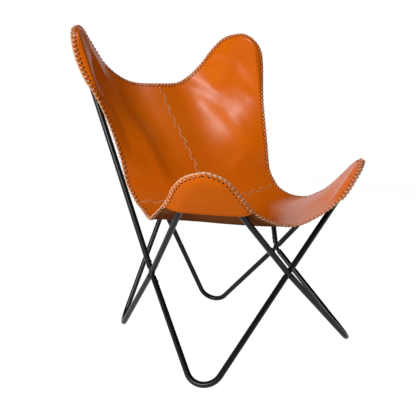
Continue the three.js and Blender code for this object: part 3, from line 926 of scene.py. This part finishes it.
def lace_stations(half):
    """For each stitch, worked out on the sitter's left: the edge point, the hole in front, how the leather
    faces there and at the rim, the hole behind, how it faces there, and whether a pocket lies behind it."""
    surface = sling_surface(half)
    pockets = {near_back: pocket_surface(half, near_back) for near_back in (True, False)}
    found = []
    for params, length in ((side_params, half.side.length), (back_params, half.back.length / 2),
                           (front_params, half.front.length / 2)):
        a, d = stations(params, length, half.side_seam)
        edge = half.draped(a, d)
        run = unit(np.gradient(edge, axis=0))
        _, facing = surface.near(edge)
        inward = unit(np.cross(facing, run))
        middle = half.draped(0.55 + 0 * a, 0.5 + 0.5 * (d - 0.5))
        inward *= np.sign(((middle - edge) * inward).sum(1))[:, None]
        hole, facing = surface.near(edge + inward * HOLE_INSET)
        _, rim = surface.near(edge + inward * RIM_INSET)
        behind, behind_facing = hole.copy(), facing.copy()
        for near_back, pocket in pockets.items():
            inside = in_pocket(a, d, near_back)
            if inside.any():
                behind[inside], behind_facing[inside] = pocket.near(hole[inside])
        doubled = in_pocket(a, d, True) | in_pocket(a, d, False)
        found.append((edge, hole, facing, rim, behind, behind_facing, doubled))
    return [np.concatenate(parts) for parts in zip(*found)]


def in_pocket(a, d, near_back):
    across, down = POCKETS[near_back]
    return (1 - a) / across + (d if near_back else 1 - d) / down < 1


def make_lacing(side, lace, dark):
    half, sign = HALVES[side], SIGNS[side]
    stitches, holes = Bundle(), Bundle()
    for e, h, n, r, b, m, doubled in zip(*lace_stations(half)):
        out = unit(e - h - ((e - h) @ n) * n)
        along = np.cross(n, out)
        slant = along * LACE_PITCH * LACE_SLANT
        top = LEATHER / 2
        bottom = top + doubled * (LEATHER + LAYER_GAP)
        # out of the hole in front, round the edge, and into the hole behind
        path = np.array([
            h - n * (top - 1.2) - slant * 0.9,
            h + n * (top + 0.25) - slant * 0.8 + out * 0.4,
            h + n * (top + 0.75) - slant * 0.6 + out * 2.2,
            (h + e) / 2 + (n + r) / 2 * (top + 0.8) - slant * 0.3,
            e + r * (top + 0.6) - out * 0.8,
            e + r * (top * 0.4) + out * 1.3,
            e - r * (bottom * 0.6) + out * 1.3 + slant * 0.1,
            e - r * (bottom + 0.6) - out * 0.8 + slant * 0.3,
            (b + e - r * (bottom - top)) / 2 - (m + r) / 2 * (top + 0.8) + slant * 0.6,
            b - m * (top + 0.7) + slant * 0.85,
            b - m * (top - 0.9) + slant,
        ])
        across = np.tile(along, (len(path), 1))
        points, faces = strap(path, across, LACE_WIDTH, LACE_THICKNESS)
        turns = np.linspace(0, 2 * math.pi, HOLE_SIDES, endpoint=False)
        # a near-black disc at each hole, in front and behind: painted shade inside the hole
        for place, up, shift in ((h, n, -slant * 0.8), (b, -m, slant * 0.95)):
            inward = unit(-out - (-out @ up) * up)
            centre = place + up * (top + 0.15) + shift + inward * 2.2
            ring = [centre + HOLE_RADIUS * (math.cos(t) * along + math.sin(t) * inward) for t in turns]
            holes.add(np.array(ring) * [sign, 1, 1], [tuple(range(HOLE_SIDES))])
        stitches.add(points * [sign, 1, 1], faces)
    piece = stitches.finish(f"edge_lacing_{side}", lace)
    piece = holes.finish(f"lacing_holes_{side}", dark)


SEAM_STITCH = 25.0
SEAM_PITCH = 42.0
SEAM_ROW_GAP = 4.2
SEAM_ROW_SLANT = 0.3    # of the gap, over one stitch
SEAM_START = 14.0
SEAM_END = 8.0
THREAD = 2.2
THREAD_RISE = 0.75
THREAD_HOLE = 1.2
THREAD_HOLE_SIDES = 8
STITCH_POINTS = 9


def make_seam(name, line, facings, thread, dark):
    """Two staggered rows of long stitches beside a seam along a line."""
    lengths = np.concatenate([[0], np.cumsum(np.linalg.norm(np.diff(line, axis=0), axis=1))])
    stitches, holes = Bundle(), Bundle()
    for row, shift in ((-1, 0.0), (1, 0.5)):
        start = SEAM_START + shift * SEAM_PITCH
        while start + SEAM_STITCH < lengths[-1] - SEAM_END:
            reach = start + np.linspace(0, SEAM_STITCH, STITCH_POINTS)
            spots = np.stack([np.interp(reach, lengths, line[:, k]) for k in range(3)], axis=-1)
            up = unit(np.stack([np.interp(reach, lengths, facings[:, k]) for k in range(3)], axis=-1))
            along = unit(np.gradient(spots, axis=0))
            side = unit(np.cross(up, along))
            arch = np.sqrt(np.clip(1 - np.linspace(-1, 1, STITCH_POINTS) ** 4, 0, 1))
            rise = LEATHER / 2 + 0.15 + THREAD_RISE * arch
            rise[[0, -1]] = LEATHER / 2 - 0.6
            slant = 0.85 + SEAM_ROW_SLANT * np.linspace(0, 1, STITCH_POINTS)
            path = spots + side * row * SEAM_ROW_GAP * slant[:, None] + up * rise[:, None]
            points, faces = strap(path, side, THREAD, THREAD * 0.8, 6)
            stitches.add(points, faces)
            # a near-black disc at each end of the stitch: painted shade inside the thread hole
            for end in (0, -1):
                centre = path[end] - up[end] * rise[end] + up[end] * (LEATHER / 2 + 0.1)
                ring = [centre + THREAD_HOLE * (math.cos(t) * along[end] + math.sin(t) * side[end])
                        for t in np.linspace(0, 2 * math.pi, THREAD_HOLE_SIDES, endpoint=False)]
                holes.add(np.array(ring), [tuple(range(THREAD_HOLE_SIDES))])
            start += SEAM_PITCH
    stitches.finish(f"{name}_stitches", thread)
    holes.finish(f"{name}_holes", dark)


def lace_leather():
    finish = Finish("lace")
    cloud = finish.noise(60.0, 3.0)
    colour = finish.blend(cloud.above(0.35, 0.7), (0.54, 0.2, 0.075), (0.66, 0.31, 0.155))
    return finish.principled(Base_Color=colour, Roughness=0.5, Specular_IOR_Level=0.35,
                             Normal=finish.bump(finish.noise(700.0, 3.0), 0.0002, 0.4))


def seam_thread():
    finish = Finish("seam_thread")
    twist = finish.noise(900.0, 2.0)
    colour = finish.blend(twist, (0.5, 0.22, 0.09), (0.66, 0.36, 0.19))
    return finish.principled(Base_Color=colour, Roughness=0.6, Specular_IOR_Level=0.25,
                             Normal=finish.bump(twist, 0.0002, 0.5))


# near-black discs at the lacing and thread holes: painted shade inside the holes
def hole_shade():
    finish = Finish("hole_shade")
    fibre = finish.noise(800.0, 2.0)
    return finish.principled(Base_Color=finish.blend(fibre, (0.012, 0.006, 0.004), (0.03, 0.014, 0.008)),
                             Roughness=0.9, Specular_IOR_Level=0.05)


# Build

bpy.context.scene.view_settings.view_transform = "Standard"
make_camera()
make_studio()

coat = powder_coat()
zinc = dark_zinc()
for name, plan in PLANS.items():
    make_tube(name, plan, coat)
for name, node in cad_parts.items():
    if name.startswith(("cross_joint", "screw")):
        finish = zinc if name.startswith("screw") else coat
        if not node.material_slots:
            node.data.materials.append(finish)
        for slot in node.material_slots:
            slot.material = finish

flesh, cut = flesh_side(), cut_edge()
leather = [tan_leather("tan_saddle_leather", 0.0, 0.28, 0.6), flesh, cut]
# the pockets get a darker copy of the leather: painted shade, as they face down and away from the key
shaded_pocket_leather = [tan_leather("tan_pocket_leather", 0.2, 0.08, 0.2), flesh, cut]
lace, thread, dark = lace_leather(), seam_thread(), hole_shade()
for side in ("right", "left"):
    make_panel(f"back_panel_{side}", side, True, leather)
    make_panel(f"seat_panel_{side}", side, False, leather)
    make_pocket(f"back_pocket_{side}", side, True, shaded_pocket_leather)
    make_pocket(f"front_pocket_{side}", side, False, shaded_pocket_leather)
    make_lacing(side, lace, dark)

along = np.linspace(0, 1, 300)
middle = HALVES["left"]
make_seam("centre_seam", middle.draped(0 * along, along), middle.facings(0 * along + 0.01, along),
          thread, dark)
cross_line, cross_facings = [], []
for side in ("right", "left"):
    half, mirror = HALVES[side], np.array([SIGNS[side], 1, 1])
    cross_line.append(half.draped(along, 0 * along + 0.5) * mirror)
    cross_facings.append(half.facings(along, 0 * along + 0.5) * mirror)
make_seam("cross_seam", np.concatenate([cross_line[0][::-1], cross_line[1][1:]]),
          np.concatenate([cross_facings[0][::-1], cross_facings[1][1:]]), thread, dark)
